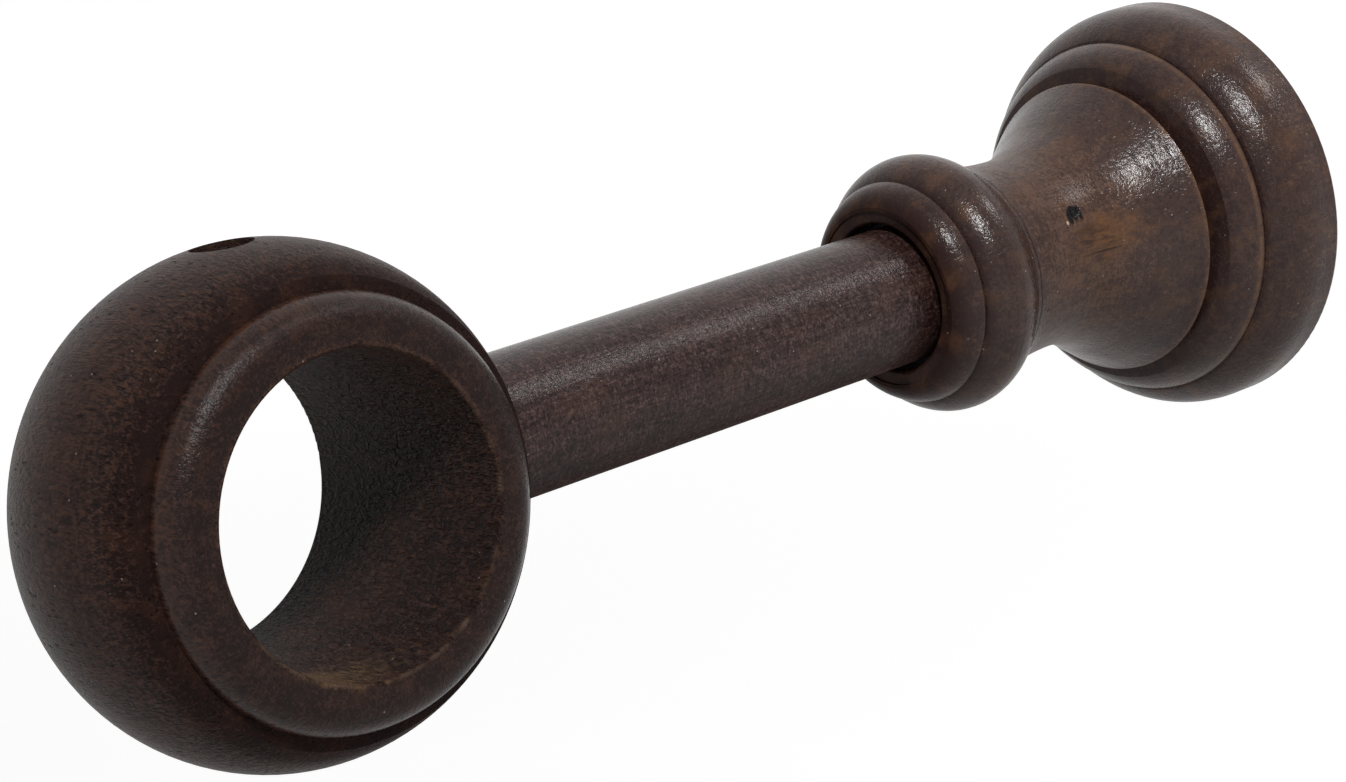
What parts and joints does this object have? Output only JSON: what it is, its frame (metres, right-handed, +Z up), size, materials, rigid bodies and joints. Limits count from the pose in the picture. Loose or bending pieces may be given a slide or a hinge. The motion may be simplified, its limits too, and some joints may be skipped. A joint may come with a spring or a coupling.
{
  "type": "curtain pole bracket",
  "caption": "Turned wooden wall bracket for a curtain pole: a moulded ring on a dowel arm that stands out of a bell-shaped wall rose, in dark walnut stain.",
  "frame": {"origin": "centre of the pole's bore, on the middle plane of the ring", "axes": "+X along the pole, +Y along the arm towards the wall, +Z up; the wall is the plane Y = 0.1292 m"},
  "size_m": [0.047, 0.1543, 0.05],
  "materials": {
    "ring_wood": "dark walnut stain under satin lacquer",
    "arm_wood": "dark walnut stain under satin lacquer",
    "rose_wood": "dark walnut stain under satin lacquer",
    "insert_steel": "zinc plated"
  },
  "bodies": {
    "root": {"pole_ring": "ring_wood", "arm": "arm_wood", "wall_rose": "rose_wood", "threaded_insert": "insert_steel"}
  },
  "joints": []
}
